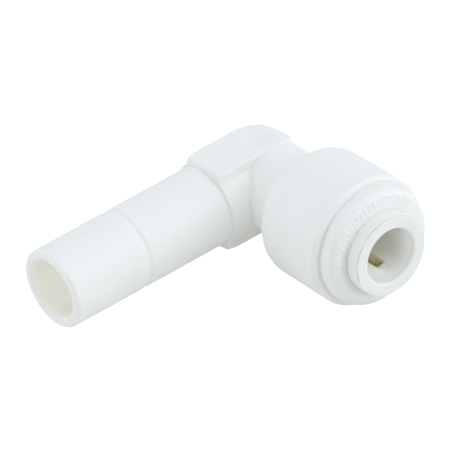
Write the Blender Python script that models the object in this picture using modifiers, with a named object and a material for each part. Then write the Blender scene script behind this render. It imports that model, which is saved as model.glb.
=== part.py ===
"""Stem elbow with a push to connect tube socket.

The plain stem plugs into another fitting, and a tube pushes into the socket at right angles to it.
The axes of the two ports cross at one point: the stem runs from it along -X, and the socket opens
along -Y. Sizes are in millimetres, and become metres where points are made.

Along the stem, and along the socket, distances are measured from the crossing outwards.
"""

import math

import bmesh
import bpy
from mathutils import Matrix, Vector

MM = 0.001
SEGMENTS = 36
ARC_STEPS = 5

# Stem
STEM_D = 9.525
STEM_WALL = 1.31
STEM_LENGTH = 22.1
STEM_RIM_ROUND = 0.45
STEM_BORE_LEAD = 0.15
GROOVE_FROM_END = 10.36
GROOVE_WIDTH = 0.43
GROOVE_DEPTH = 0.15

# Elbow block
BLOCK_REACH = 7.7
BLOCK_STEP = 0.24
NECK_STEP = 0.1
NECK_TAPER = 0.8
BAR_WIDTH = 5.9
BAR_PROUD = 0.05
BAR_SETBACK = 0.06
BAR_CORNER = 0.6

# Tube passage
TUBE_D = 6.35
SEAT_CLEARANCE = 0.075
COLLET_CLEARANCE = 0.125
FLOW_BORE_D = 4.8
BORE_OVERRUN = 0.3
TUBE_STOP = 7.0
SEAT_LENGTH = 2.6

# Seal
SEAL_SECTION = 1.78
SEAL_SQUEEZE = 0.14
SEAL_CLEARANCE = 0.085
SEAL_SIDE_PLAY = 0.11
SPACER_THICKNESS = 1.0
SPACER_CLEARANCE = 0.2

# Collet
HEAD_WALL = 1.57
HEAD_LENGTH = 3.1
HEAD_EDGE = 0.2
LIP_ROUND = 0.35
PROTRUSION = 2.1
PUSH_TRAVEL = 1.4
PUSH_MARGIN = 0.25
WAIST_WALL = 1.05
BARB_WALL = 2.2
BARB_FRONT = 0.9
BARB_LAND = 1.6
FINGER_LEAD = 0.8
SLIT_COUNT = 4
SLIT_WIDTH = 1.38
SLIT_FROM_FACE = 2.8
SLIT_ANGLE = math.radians(287.5)

# Grip teeth
TOOTH_WIDTH = 2.2
TOOTH_DEPTH = 1.4
TOOTH_THICKNESS = 0.28
TOOTH_BITE = 0.25
TOOTH_FROM_END = 0.75
TOOTH_TILT = math.radians(20.0)
POCKET_CLEARANCE = 0.06

# End cap and socket shell
RUNNING_CLEARANCE = 0.13
BARB_CLEARANCE = 0.35
CAM_ANGLE = math.radians(20.0)
CAM_GAP = 0.15
SKIRT_WALL = 0.5
SKIRT_CLEARANCE = 0.1
SOCKET_WALL = 1.3
SHOULDER_COVER = 1.15
SOCKET_EDGE = 0.35
FLANGE_THICKNESS = 1.9
FLANGE_LIP = 0.55
FLANGE_ROUND = 0.6
FLANGE_CHAMFER = 0.27
SEAM = 0.08
STACK_GAP = 0.05
CAP_DEPTH = 6.2

# Radii worked out from the sizes above
STEM_R = STEM_D / 2
STEM_BORE_R = STEM_R - STEM_WALL
BLOCK_R = STEM_R + BLOCK_STEP
NECK_R = BLOCK_R + NECK_STEP
BAR_HALF = BAR_WIDTH / 2
BAR_HALF_HEIGHT = NECK_R + BAR_PROUD
TUBE_R = TUBE_D / 2
SEAT_R = TUBE_R + SEAT_CLEARANCE
FLOW_R = FLOW_BORE_D / 2
COLLET_BORE_R = TUBE_R + COLLET_CLEARANCE
SEAL_TUBE_R = SEAL_SECTION / 2
SEAL_RING_R = TUBE_R - SEAL_SQUEEZE + SEAL_TUBE_R
CHAMBER_R = SEAL_RING_R + SEAL_TUBE_R + SEAL_CLEARANCE
HEAD_R = COLLET_BORE_R + HEAD_WALL
WAIST_R = COLLET_BORE_R + WAIST_WALL
BARB_R = COLLET_BORE_R + BARB_WALL
CAP_HOLE_R = HEAD_R + RUNNING_CLEARANCE
SKIRT_INNER_R = BARB_R + BARB_CLEARANCE
SKIRT_R = SKIRT_INNER_R + SKIRT_WALL
MOUTH_R = SKIRT_R + SKIRT_CLEARANCE
SOCKET_R = MOUTH_R + SOCKET_WALL
FLANGE_R = MOUTH_R + FLANGE_LIP
SHOULDER_ROUND = SOCKET_R - NECK_R

# Distances worked out from the sizes above
STEM_REACH = BLOCK_REACH + STEM_LENGTH
CHAMBER_START = TUBE_STOP + SEAT_LENGTH
SPACER_SEAT = CHAMBER_START + SEAL_SECTION + 2 * SEAL_SIDE_PLAY
SPACER_BACK = SPACER_SEAT + STACK_GAP
SPACER_FRONT = SPACER_BACK + SPACER_THICKNESS
CAP_END = SPACER_FRONT + STACK_GAP
SOCKET_FRONT = CAP_END + CAP_DEPTH
FLANGE_BACK = SOCKET_FRONT + SEAM
CAP_FACE = FLANGE_BACK + FLANGE_THICKNESS
COLLET_FACE = CAP_FACE + PROTRUSION
COLLET_END = SPACER_FRONT + PUSH_MARGIN + PUSH_TRAVEL
SHOULDER_END = CHAMBER_START + SHOULDER_COVER
BARB_START = COLLET_END + FINGER_LEAD
WEDGE_START = BARB_START + BARB_LAND

# The cap's inner cone lies CAM_GAP off the barb's wedge, measured square to the two
CAM_SLOPE = math.tan(CAM_ANGLE)
WEDGE_END = WEDGE_START + BARB_FRONT
CAM_START = WEDGE_START + CAM_GAP / math.sin(CAM_ANGLE) - BARB_CLEARANCE / CAM_SLOPE
CAM_END = CAM_START + (SKIRT_INNER_R - CAP_HOLE_R) / CAM_SLOPE

# The part stands on its socket, with its origin under the middle of its bounding box
CROSSING = Vector((
    (STEM_REACH - SOCKET_R) / 2,
    (COLLET_FACE - BLOCK_R) / 2,
    SOCKET_R,
)) * MM

WHITE = (0.79, 0.84, 0.84)
STEEL = (0.62, 0.61, 0.58)
BLACK = (0.02, 0.02, 0.02)


def clear_scene():
    for obj in list(bpy.data.objects):
        bpy.data.objects.remove(obj, do_unlink=True)


def add_collection(name):
    collection = bpy.data.collections.new(name)
    bpy.context.scene.collection.children.link(collection)
    return collection


def add_material(name, colour, roughness, metallic):
    material = bpy.data.materials.new(name)
    material.use_nodes = True
    shader = material.node_tree.nodes["Principled BSDF"]
    shader.inputs["Base Color"].default_value = (*colour, 1.0)
    shader.inputs["Roughness"].default_value = roughness
    shader.inputs["Metallic"].default_value = metallic
    return material


def add_empty(name, collection, parent=None, matrix=Matrix()):
    empty = bpy.data.objects.new(name, None)
    empty.empty_display_size = 0.005
    empty.parent = parent
    empty.matrix_basis = matrix
    collection.objects.link(empty)
    return empty


def add_object(name, mesh, collection, parent, matrix=Matrix()):
    obj = bpy.data.objects.new(name, mesh)
    obj.parent = parent
    obj.matrix_basis = matrix
    collection.objects.link(obj)
    return obj


def arc(centre_r, centre_z, radius, start, end, steps=ARC_STEPS):
    """Points on an arc in a profile, from one angle to another in degrees."""
    angles = [math.radians(start + (end - start) * i / steps) for i in range(steps + 1)]
    return [(centre_r + radius * math.cos(a), centre_z + radius * math.sin(a)) for a in angles]


def turned(name, profile, collection, parent, closed=False):
    """A profile of radius and height, listed down its outer side, turned about the parent's Z."""
    mesh = bpy.data.meshes.new(name)
    vertices = [(r * MM, 0.0, z * MM) for r, z in profile]
    edges = [(i, i + 1) for i in range(len(profile) - 1)]
    if closed:
        edges.append((len(profile) - 1, 0))
    mesh.from_pydata(vertices, edges, [])
    obj = add_object(name, mesh, collection, parent)
    screw = obj.modifiers.new("turn", "SCREW")
    screw.steps = SEGMENTS
    screw.render_steps = SEGMENTS
    screw.use_merge_vertices = True
    screw.merge_threshold = 1e-6
    screw.use_smooth_shade = True
    return obj


def flat_outline(name, points, thickness, collection, parent, matrix=Matrix()):
    """A closed flat outline, given thickness evenly on both sides, as a mesh."""
    curve = bpy.data.curves.new(name, "CURVE")
    curve.dimensions = "2D"
    curve.fill_mode = "BOTH"
    curve.extrude = thickness / 2 * MM
    spline = curve.splines.new("POLY")
    spline.points.add(len(points) - 1)
    for point, (x, y) in zip(spline.points, points):
        point.co = (x * MM, y * MM, 0.0, 1.0)
    spline.use_cyclic_u = True
    source = add_object(name, curve, collection, None)
    depsgraph = bpy.context.evaluated_depsgraph_get()
    mesh = bpy.data.meshes.new_from_object(source.evaluated_get(depsgraph))
    bpy.data.objects.remove(source, do_unlink=True)
    weld = bmesh.new()
    weld.from_mesh(mesh)
    bmesh.ops.remove_doubles(weld, verts=weld.verts, dist=1e-7)
    bmesh.ops.recalc_face_normals(weld, faces=weld.faces)
    weld.to_mesh(mesh)
    weld.free()
    return add_object(name, mesh, collection, parent, matrix)


def combine(target, other, operation):
    """Join a shape to the target, or cut it away, and hide the shape itself."""
    boolean = target.modifiers.new(other.name, "BOOLEAN")
    boolean.operation = operation
    boolean.object = other
    boolean.solver = "EXACT"
    other.hide_render = True
    other.display_type = "WIRE"


def around(angle):
    """The outward and sideways directions at an angle round the socket's axis."""
    outward = Vector((math.cos(angle), math.sin(angle), 0.0))
    sideways = Vector((-math.sin(angle), math.cos(angle), 0.0))
    return outward, sideways


def placed(x_axis, y_axis, origin):
    """A placement whose X and Y axes and origin are given in the parent's frame."""
    columns = Matrix((x_axis, y_axis, x_axis.cross(y_axis))).transposed()
    return Matrix.Translation(origin) @ columns.to_4x4()


def finish(obj, material):
    obj.data.materials.append(material)
    obj.data.shade_smooth()
    obj.data.set_sharp_from_angle(angle=math.radians(35.0))


def stem_outside(cutters, axis):
    groove_top = STEM_REACH - GROOVE_FROM_END
    groove_floor = STEM_R - GROOVE_DEPTH
    flank = GROOVE_WIDTH / 4
    profile = [(0.0, STEM_REACH)]
    profile += arc(STEM_R - STEM_RIM_ROUND, STEM_REACH - STEM_RIM_ROUND, STEM_RIM_ROUND, 90, 0)
    profile += [
        (STEM_R, groove_top),
        (groove_floor, groove_top - flank),
        (groove_floor, groove_top - GROOVE_WIDTH + flank),
        (STEM_R, groove_top - GROOVE_WIDTH),
        (STEM_R, BLOCK_REACH),
        (BLOCK_R, BLOCK_REACH),
    ]
    profile += arc(0.0, 0.0, BLOCK_R, 0, -90, 2 * ARC_STEPS)[:-1]
    profile.append((0.0, -BLOCK_R))
    return turned("stem_outside", profile, cutters, axis)


def stem_bore(cutters, axis):
    mouth = STEM_REACH + STEM_WALL
    profile = [
        (0.0, mouth),
        (STEM_BORE_R + STEM_BORE_LEAD + STEM_WALL, mouth),
        (STEM_BORE_R, STEM_REACH - STEM_BORE_LEAD),
        (STEM_BORE_R, -FLOW_R - BORE_OVERRUN),
        (0.0, -FLOW_R - BORE_OVERRUN),
    ]
    return turned("stem_bore", profile, cutters, axis)


def socket_bore(cutters, axis):
    profile = [
        (0.0, SOCKET_FRONT + SOCKET_WALL),
        (MOUTH_R, SOCKET_FRONT + SOCKET_WALL),
        (MOUTH_R, SPACER_SEAT),
        (CHAMBER_R, SPACER_SEAT),
        (CHAMBER_R, CHAMBER_START),
        (SEAT_R, CHAMBER_START),
        (SEAT_R, TUBE_STOP),
        (FLOW_R, TUBE_STOP),
        (FLOW_R, 0.0),
        (0.0, 0.0),
    ]
    return turned("socket_bore", profile, cutters, axis)


def elbow_bar(cutters, crossing):
    """The flat-topped bar along the stem, rounded about the crossing at the elbow's outer corner."""
    start = -BLOCK_REACH + BAR_SETBACK
    side = BAR_HALF - BAR_CORNER
    points = arc(start + BAR_CORNER, -side, BAR_CORNER, 180, 270)
    points.append((BAR_HALF, -BAR_HALF))
    points += arc(0.0, 0.0, BAR_HALF, 0, 90, 2 * ARC_STEPS)
    points += arc(start + BAR_CORNER, side, BAR_CORNER, 90, 180)
    return flat_outline("elbow_bar", points, 2 * BAR_HALF_HEIGHT, cutters, crossing)


def elbow_body(parts, cutters, crossing, stem_axis, socket_axis):
    """The moulding: neck and socket, with the stem and the bar joined on and the bores cut."""
    profile = [
        (0.0, SOCKET_FRONT),
        (SOCKET_R - SOCKET_EDGE, SOCKET_FRONT),
        (SOCKET_R, SOCKET_FRONT - SOCKET_EDGE),
    ]
    profile += arc(NECK_R, SHOULDER_END, SHOULDER_ROUND, 0, -90, 2 * ARC_STEPS)
    profile += [
        (NECK_R, NECK_TAPER),
        (NECK_R - NECK_TAPER, -NECK_TAPER),
        (0.0, -NECK_TAPER),
    ]
    body = turned("elbow_body", profile, parts, socket_axis)
    combine(body, elbow_bar(cutters, crossing), "UNION")
    combine(body, stem_outside(cutters, stem_axis), "UNION")
    combine(body, stem_bore(cutters, stem_axis), "DIFFERENCE")
    combine(body, socket_bore(cutters, socket_axis), "DIFFERENCE")
    return body


def end_cap(parts, axis):
    """The ring in the socket's mouth, with a flange outside and a coned skirt inside."""
    profile = [(CAP_HOLE_R, CAP_FACE)]
    profile += arc(FLANGE_R - FLANGE_ROUND, CAP_FACE - FLANGE_ROUND, FLANGE_ROUND, 90, 0)
    profile += [
        (FLANGE_R, FLANGE_BACK + FLANGE_CHAMFER),
        (FLANGE_R - FLANGE_CHAMFER, FLANGE_BACK),
        (SKIRT_R, FLANGE_BACK),
        (SKIRT_R, CAP_END),
        (SKIRT_INNER_R, CAP_END),
        (SKIRT_INNER_R, CAM_START),
        (CAP_HOLE_R, CAM_END),
    ]
    return turned("end_cap", profile, parts, axis, closed=True)


def collet_slit(index, cutters, axis):
    """A slot from the fingers' ends to its round end in the head."""
    outward, sideways = around(SLIT_ANGLE + index * 2 * math.pi / SLIT_COUNT)
    half = SLIT_WIDTH / 2
    top = COLLET_FACE - SLIT_FROM_FACE - half
    points = [(half, COLLET_END - SLIT_WIDTH)]
    points += arc(0.0, top, half, 0, 180)
    points.append((-half, COLLET_END - SLIT_WIDTH))
    inside = COLLET_BORE_R / 2
    outside = BARB_R + COLLET_BORE_R / 2
    middle = outward * (inside + outside) / 2 * MM
    matrix = placed(sideways, Vector((0.0, 0.0, 1.0)), middle)
    name = f"collet_slit_{index + 1}"
    return flat_outline(name, points, outside - inside, cutters, axis, matrix)


def tooth_matrix(index):
    """A finger's tooth leans inwards, so that a pull on the tube drives it in."""
    angle = SLIT_ANGLE + (index + 0.5) * 2 * math.pi / SLIT_COUNT
    outward, sideways = around(angle)
    along = Vector((0.0, 0.0, 1.0))
    lean = outward * math.cos(TOOTH_TILT) + along * math.sin(TOOTH_TILT)
    origin = outward * COLLET_BORE_R + along * (COLLET_END + TOOTH_FROM_END)
    return placed(sideways, lean, origin * MM)


def tooth_pocket(index, cutters, axis):
    half = TOOTH_WIDTH / 2 + POCKET_CLEARANCE
    bottom = -COLLET_BORE_R / 2
    top = TOOTH_DEPTH - TOOTH_BITE + POCKET_CLEARANCE
    points = [(half, bottom), (half, top), (-half, top), (-half, bottom)]
    thickness = TOOTH_THICKNESS + 2 * POCKET_CLEARANCE
    name = f"tooth_pocket_{index + 1}"
    return flat_outline(name, points, thickness, cutters, axis, tooth_matrix(index))


def grip_tooth(index, parts, axis):
    """A thin plate whose hollow edge stands TOOTH_BITE into the collet's bore."""
    half = TOOTH_WIDTH / 2
    edge_r = COLLET_BORE_R - TOOTH_BITE
    spread = math.degrees(math.asin(half / edge_r))
    points = arc(0.0, -COLLET_BORE_R, edge_r, 90 - spread, 90 + spread)
    top = TOOTH_DEPTH - TOOTH_BITE
    points += [(-half, top), (half, top)]
    name = f"grip_tooth_{index + 1}"
    return flat_outline(name, points, TOOTH_THICKNESS, parts, axis, tooth_matrix(index))


def collet(parts, cutters, axis):
    """The release sleeve: a head outside, and barbed fingers parted by slits inside."""
    head_end = COLLET_FACE - HEAD_LENGTH
    lip = COLLET_BORE_R + LIP_ROUND
    profile = [
        (HEAD_R - HEAD_EDGE, COLLET_FACE),
        (HEAD_R, COLLET_FACE - HEAD_EDGE),
        (HEAD_R, head_end),
        (WAIST_R, head_end - (HEAD_R - WAIST_R)),
        (WAIST_R, WEDGE_END),
        (BARB_R - BARB_FRONT * CAM_SLOPE, WEDGE_END),
        (BARB_R, WEDGE_START),
        (BARB_R, BARB_START),
        (BARB_R - FINGER_LEAD / 2, COLLET_END),
        (COLLET_BORE_R, COLLET_END),
    ]
    profile += arc(lip, COLLET_FACE - LIP_ROUND, LIP_ROUND, 180, 90)
    sleeve = turned("collet", profile, parts, axis, closed=True)
    for index in range(SLIT_COUNT):
        combine(sleeve, collet_slit(index, cutters, axis), "DIFFERENCE")
        combine(sleeve, tooth_pocket(index, cutters, axis), "DIFFERENCE")
    return sleeve


def spacer_ring(parts, axis):
    inner = TUBE_R + SPACER_CLEARANCE
    profile = [
        (SKIRT_R, SPACER_FRONT),
        (SKIRT_R, SPACER_BACK),
        (inner, SPACER_BACK),
        (inner, SPACER_FRONT),
    ]
    return turned("spacer_ring", profile, parts, axis, closed=True)


def o_ring(parts, axis):
    middle = CHAMBER_START + SEAL_SIDE_PLAY + SEAL_TUBE_R
    profile = arc(SEAL_RING_R, middle, SEAL_TUBE_R, 90, -270, 2 * ARC_STEPS)[:-1]
    return turned("o_ring", profile, parts, axis, closed=True)


def main():
    clear_scene()
    parts = add_collection("stem_elbow_fitting")
    cutters = add_collection("stem_elbow_cutters")
    white = add_material("white_plastic", WHITE, 0.42, 0.0)
    steel = add_material("stainless_steel", STEEL, 0.3, 1.0)
    black = add_material("black_rubber", BLACK, 0.6, 0.0)
    crossing = add_empty("port_crossing", parts, None, Matrix.Translation(CROSSING))
    stem_axis = add_empty("stem_axis", parts, crossing, Matrix.Rotation(-math.pi / 2, 4, "Y"))
    socket_axis = add_empty("socket_axis", parts, crossing, Matrix.Rotation(math.pi / 2, 4, "X"))
    bpy.context.view_layer.update()
    finish(elbow_body(parts, cutters, crossing, stem_axis, socket_axis), white)
    finish(end_cap(parts, socket_axis), white)
    finish(collet(parts, cutters, socket_axis), white)
    finish(spacer_ring(parts, socket_axis), white)
    finish(o_ring(parts, socket_axis), black)
    for index in range(SLIT_COUNT):
        finish(grip_tooth(index, parts, socket_axis), steel)


main()
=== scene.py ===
"""Stem elbow with a push to connect tube socket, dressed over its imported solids.

The axes of the two ports cross at one point. The stem runs from the crossing along -X, and the
socket opens along -Y. Every piece has its origin at the crossing, so its mesh, and its finish,
are laid out in distances from there.
"""

import math
from functools import cached_property

import bmesh
import bpy
import numpy as np
from bpy.props import FloatProperty, FloatVectorProperty, PointerProperty
from mathutils import Matrix, Vector


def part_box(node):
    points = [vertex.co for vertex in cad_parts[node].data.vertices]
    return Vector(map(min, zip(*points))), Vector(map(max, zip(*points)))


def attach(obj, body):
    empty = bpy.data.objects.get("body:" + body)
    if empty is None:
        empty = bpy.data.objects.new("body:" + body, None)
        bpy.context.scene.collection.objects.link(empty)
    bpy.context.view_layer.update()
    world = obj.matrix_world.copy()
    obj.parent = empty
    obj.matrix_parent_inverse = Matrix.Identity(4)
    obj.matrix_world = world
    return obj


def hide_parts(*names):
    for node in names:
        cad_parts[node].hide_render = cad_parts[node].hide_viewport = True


bl_info = {
    "name": "Stem elbow fitting",
    "version": (1, 0, 0),
    "blender": (4, 5, 0),
    "location": "3D View > Sidebar > Stem elbow",
    "description": "Builds a moulded stem elbow with a push to connect socket over its solids",
    "category": "Mesh",
}

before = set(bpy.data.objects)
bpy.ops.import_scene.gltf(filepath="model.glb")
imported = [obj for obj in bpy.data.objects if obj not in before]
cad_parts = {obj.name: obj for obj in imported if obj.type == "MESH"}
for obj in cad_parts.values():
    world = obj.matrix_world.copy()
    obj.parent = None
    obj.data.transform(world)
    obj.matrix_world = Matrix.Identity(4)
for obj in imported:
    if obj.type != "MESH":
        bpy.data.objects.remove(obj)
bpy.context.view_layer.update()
MM = 0.001

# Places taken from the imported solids
BODY_LOW, BODY_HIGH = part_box("elbow_body")
CAP_LOW, CAP_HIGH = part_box("end_cap")
COLLET_LOW, COLLET_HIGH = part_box("collet")
SEAL_LOW, SEAL_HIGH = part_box("o_ring")
WASHER_LOW, WASHER_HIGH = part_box("spacer_ring")
BLOCK_RADIUS = 5.0025
CROSSING = Vector((
    (CAP_LOW.x + CAP_HIGH.x) / 2,
    BODY_HIGH.y - BLOCK_RADIUS * MM,
    (CAP_LOW.z + CAP_HIGH.z) / 2,
))
STEM_REACH = CROSSING.x - BODY_LOW.x
SOCKET_FRONT = CROSSING.y - BODY_LOW.y
SOCKET_RADIUS = (BODY_HIGH.z - BODY_LOW.z) / 2
CAP_FACE = CROSSING.y - CAP_LOW.y
CAP_END = CROSSING.y - CAP_HIGH.y
FLANGE_RADIUS = (CAP_HIGH.z - CAP_LOW.z) / 2
COLLET_FACE = CROSSING.y - COLLET_LOW.y
COLLET_END = CROSSING.y - COLLET_HIGH.y
WASHER_FRONT = CROSSING.y - WASHER_LOW.y
WASHER_BACK = CROSSING.y - WASHER_HIGH.y
WASHER_RADIUS = (WASHER_HIGH.z - WASHER_LOW.z) / 2
SEAL_SECTION = SEAL_HIGH.y - SEAL_LOW.y
SEAL_MIDDLE = CROSSING.y - (SEAL_LOW.y + SEAL_HIGH.y) / 2
SEAL_RADIUS = (SEAL_HIGH.z - SEAL_LOW.z - SEAL_SECTION) / 2

ALONG_STEM = Vector((-1.0, 0.0, 0.0))
ALONG_SOCKET = Vector((0.0, -1.0, 0.0))
SIDE = Vector((1.0, 0.0, 0.0))
BACK = Vector((0.0, 1.0, 0.0))
UP = Vector((0.0, 0.0, 1.0))

# One tooth in each finger
FINGERS = sum(name.startswith("grip_tooth_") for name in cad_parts)

# How the moulding's rings turn from the stem to the socket
BEND = 6.2 * MM
FAN_START = math.radians(50.0)
FAN_CORNER = math.radians(70.4)
FAN_BULGE = 3.55 * MM
BLOCK_PLAIN = 6.6 * MM
DRAFT_RING = 16.8 * MM

# How finely the skins are divided
AROUND_MOULDING = 224
AROUND_RING = 192
AROUND_SEAL = 144
AROUND_MARK = 96
AROUND_SECTION = 48
BLEND_RINGS = 7
STEP_RINGS = 46
PLAIN_RINGS = 5
FAN_RINGS = 151
PASSAGE_RINGS = 61
BORE_RINGS = 12
FILLET_STEPS = 8
SHOULDER_STEPS = 18
ARC_STEPS = 12
EDGE_STEPS = 16

# Rings on the chamfer of the stem's bore: share of its width, and millimetres further in
BORE_LEAD_RINGS = ((0.0, 0.06), (0.25, 0.03), (0.6, 0.0))

# The mould's parting line, as angles beside its plane and the ridge's half width
BESIDE_PARTING = (-0.016, -0.008, 0.008, 0.016)
PARTING_WIDTH = 0.05 * MM

# Small forms, and the angles in degrees over which an edge is shaded as sharp
SHARP = 40.0
FINE_SHARP = 30.0
BESIDE_ROUNDING = 0.3
TICK_DEGREES = (*range(92, 174, 6), *range(44, 62, 6))
BARB_SLOPE = math.radians(20.0)
TOOTH_EDGE = 0.03 * MM
RIM_ANGLE = math.radians(50.0)
FLASH = 0.02 * MM
FLASH_ANGLE = 0.08

# Finish, light and camera
MASK_BLUR = 0.04 * MM
PLASTIC_IOR = 1.48
LAMP_SIZE = 0.5 * MM
LAMP_BLEND = 0.6
BORE_AIM = 1.0 * MM
BORE_BEAM = 0.58
MOUTH_BEAM = 0.4
LIGHT_BOUNCES = 24
PHOTO_PIXELS = 452
SENSOR = 36.0
CLIP_RANGE = (0.1, 10.0)


def number(name, description, value, **settings):
    """A number from nothing upwards that a user can set."""
    return FloatProperty(name=name, description=description, default=value, min=0.0, **settings)


def length(name, description, millimetres):
    """A length that a user can set, with its default given in millimetres."""
    metres = millimetres * MM
    return number(name, description, metres, precision=6, subtype="DISTANCE", unit="LENGTH")


def share(name, description, value, high=1.0):
    """A plain number that a user can set, up to a limit."""
    return number(name, description, value, max=high, subtype="FACTOR")


def turn(name, description, degrees):
    """An angle that a user can set, with its default given in degrees."""
    return FloatProperty(
        name=name,
        description=description,
        default=math.radians(degrees),
        subtype="ANGLE",
        unit="ROTATION",
    )


def colour(name, description, value):
    """A linear colour that a user can set."""
    return FloatVectorProperty(
        name=name,
        description=description,
        default=value,
        min=0.0,
        soft_max=1.0,
        size=3,
        subtype="COLOR",
    )


class StemSizes(bpy.types.PropertyGroup):
    """Sizes of the plain stem and its bore."""

    diameter: length("Diameter", "Outside diameter of the plain stem", 9.525)
    bore: length("Bore", "Diameter of the passage in the stem", 6.905)
    rim_round: length("Rim round", "Rounding of the outer rim at the stem's end", 0.45)
    bore_lead: length("Bore lead", "Chamfer at the mouth of the bore", 0.3)
    groove_from_end: length("Groove from end", "From the stem's end to its insertion groove", 10.36)
    groove_width: length("Groove width", "Width of the insertion groove", 0.5)
    groove_depth: length("Groove depth", "Depth of the insertion groove", 0.17)
    groove_roll: length("Groove roll", "Length of the soft edge before the groove", 0.42)
    parting: length("Parting line", "Height of the fine ridge where the mould parts", 0.018)


class ElbowSizes(bpy.types.PropertyGroup):
    """Sizes of the elbow block, its bar and the neck."""

    block_reach: length("Block reach", "From the crossing to the step down to the stem", 7.7)
    block_radius: length("Block radius", "Radius of the block and of its round back", BLOCK_RADIUS)
    neck_radius: length("Neck radius", "Radius of the neck behind the socket", 5.1025)
    step_round: length("Step round", "Rounding of the block's end edge", 0.07)
    step_fillet: length("Step fillet", "Fillet where the stem leaves the block", 0.1)
    crease: length("Crease fillet", "Fillet in the inside corner between block and neck", 0.14)
    bar_half: length("Bar half width", "Half the width of the flat bar on the block", 2.95)
    bar_height: length("Bar height", "From the crossing up to the flat of the bar", 5.1525)
    bar_setback: length("Bar setback", "From the step back to the end of the bar", 0.06)
    bar_corner: length("Bar corner", "Rounding of the bar's end corners in plan", 0.5)
    bar_tip: length("Bar tip", "Rounding of the bar's inner corner in plan", 0.16)
    edge_round: length("Edge round", "Rounding along the top edges of the bar", 0.14)
    dome_round: length("Dome round", "Rounding of the top edge at the bar's round end", 0.55)
    end_round: length("End round", "Rounding of the top edge at the bar's end", 0.5)
    side_fillet: length("Side fillet", "Fillet along the foot of the bar", 0.05)
    end_fillet: length("End fillet", "Fillet at the foot of the bar's end", 0.45)
    mark_radius: length("Pin mark radius", "Radius of the ejector pin mark on each flat", 1.93)
    mark_slope: length("Pin mark slope", "Width of the sloping edge of the pin mark", 0.09)
    mark_depth: length("Pin mark depth", "Depth of the pin mark", 0.04)


class SocketSizes(bpy.types.PropertyGroup):
    """Sizes of the socket, outside and inside."""

    flow_radius: length("Flow radius", "Radius of the passage behind the tube stop", 2.4)
    bore_overrun: length("Bore overrun", "How far the stem's bore runs past the flow passage", 0.3)
    tube_stop: length("Tube stop", "From the crossing to the step that stops the tube", 7.0)
    seat_radius: length("Seat radius", "Radius of the bore that holds the tube's end", 3.25)
    chamber_start: length("Chamber start", "From the crossing to the seal's chamber", 9.6)
    chamber_radius: length("Chamber radius", "Radius of the seal's chamber", 4.9)
    washer_seat: length("Washer seat", "From the crossing to the step under the washer", 11.6)
    mouth_radius: length("Mouth radius", "Radius of the bore that takes the cap's skirt", 6.45)
    mouth_lead: length("Mouth lead", "Rounding at the mouth's inner edge", 0.1)
    shoulder_round: length("Shoulder round", "Rounding of the shoulder behind the socket", 2.65)
    shoulder_end: length("Shoulder end", "From the crossing to the straight of the socket", 10.75)
    front_chamfer: length("Front chamfer", "Chamfer of the socket's front edge", 0.36)
    draft: length("Draft", "How much the socket's radius grows towards its mouth", 0.1)
    shoulder_fillet: length("Shoulder fillet", "Fillet where the shoulder leaves the neck", 0.5)


class CapSizes(bpy.types.PropertyGroup):
    """Sizes of the end cap."""

    hole_radius: length("Hole radius", "Radius of the hole that the collet slides in", 4.89)
    hole_edge: length("Hole edge", "Rounding of the hole's outer edge", 0.025)
    face_fall: length("Face fall", "How far the face's outer corner lies behind the flat", 0.05)
    face_rise: length("Face rise", "How far the face rises towards the hole", 0.32)
    flange_back: length("Flange back", "From the crossing to the back of the flange", 18.905)
    flange_chamfer: length("Flange chamfer", "Chamfer of the flange's outer edge", 0.5)
    chamfer_round: length("Chamfer round", "Rounding at both edges of the chamfer", 0.2)
    land_length: length("Land length", "Length of the narrower land at the flange's foot", 0.38)
    land_depth: length("Land depth", "How far the land lies in from the flange", 0.07)
    land_flare: length("Land flare", "Flare at the land's foot, where it meets the socket", 0.1)
    skirt_radius: length("Skirt radius", "Outside radius of the skirt in the socket", 6.35)
    skirt_inner: length("Skirt inner radius", "Inside radius of the skirt", 5.85)
    cam_start: length("Cone start", "From the crossing to the wide end of the inner cone", 16.176)
    cam_end: length("Cone end", "From the crossing to the narrow end of the inner cone", 18.512)
    tick_radius: length("Tick radius", "Radius of the row of moulded ticks", 5.92)
    tick_length: length("Tick length", "Length of a moulded tick, across the ring", 0.86)
    tick_width: length("Tick width", "Width of a moulded tick", 0.2)
    tick_height: length("Tick height", "Height of a moulded tick", 0.1)


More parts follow.
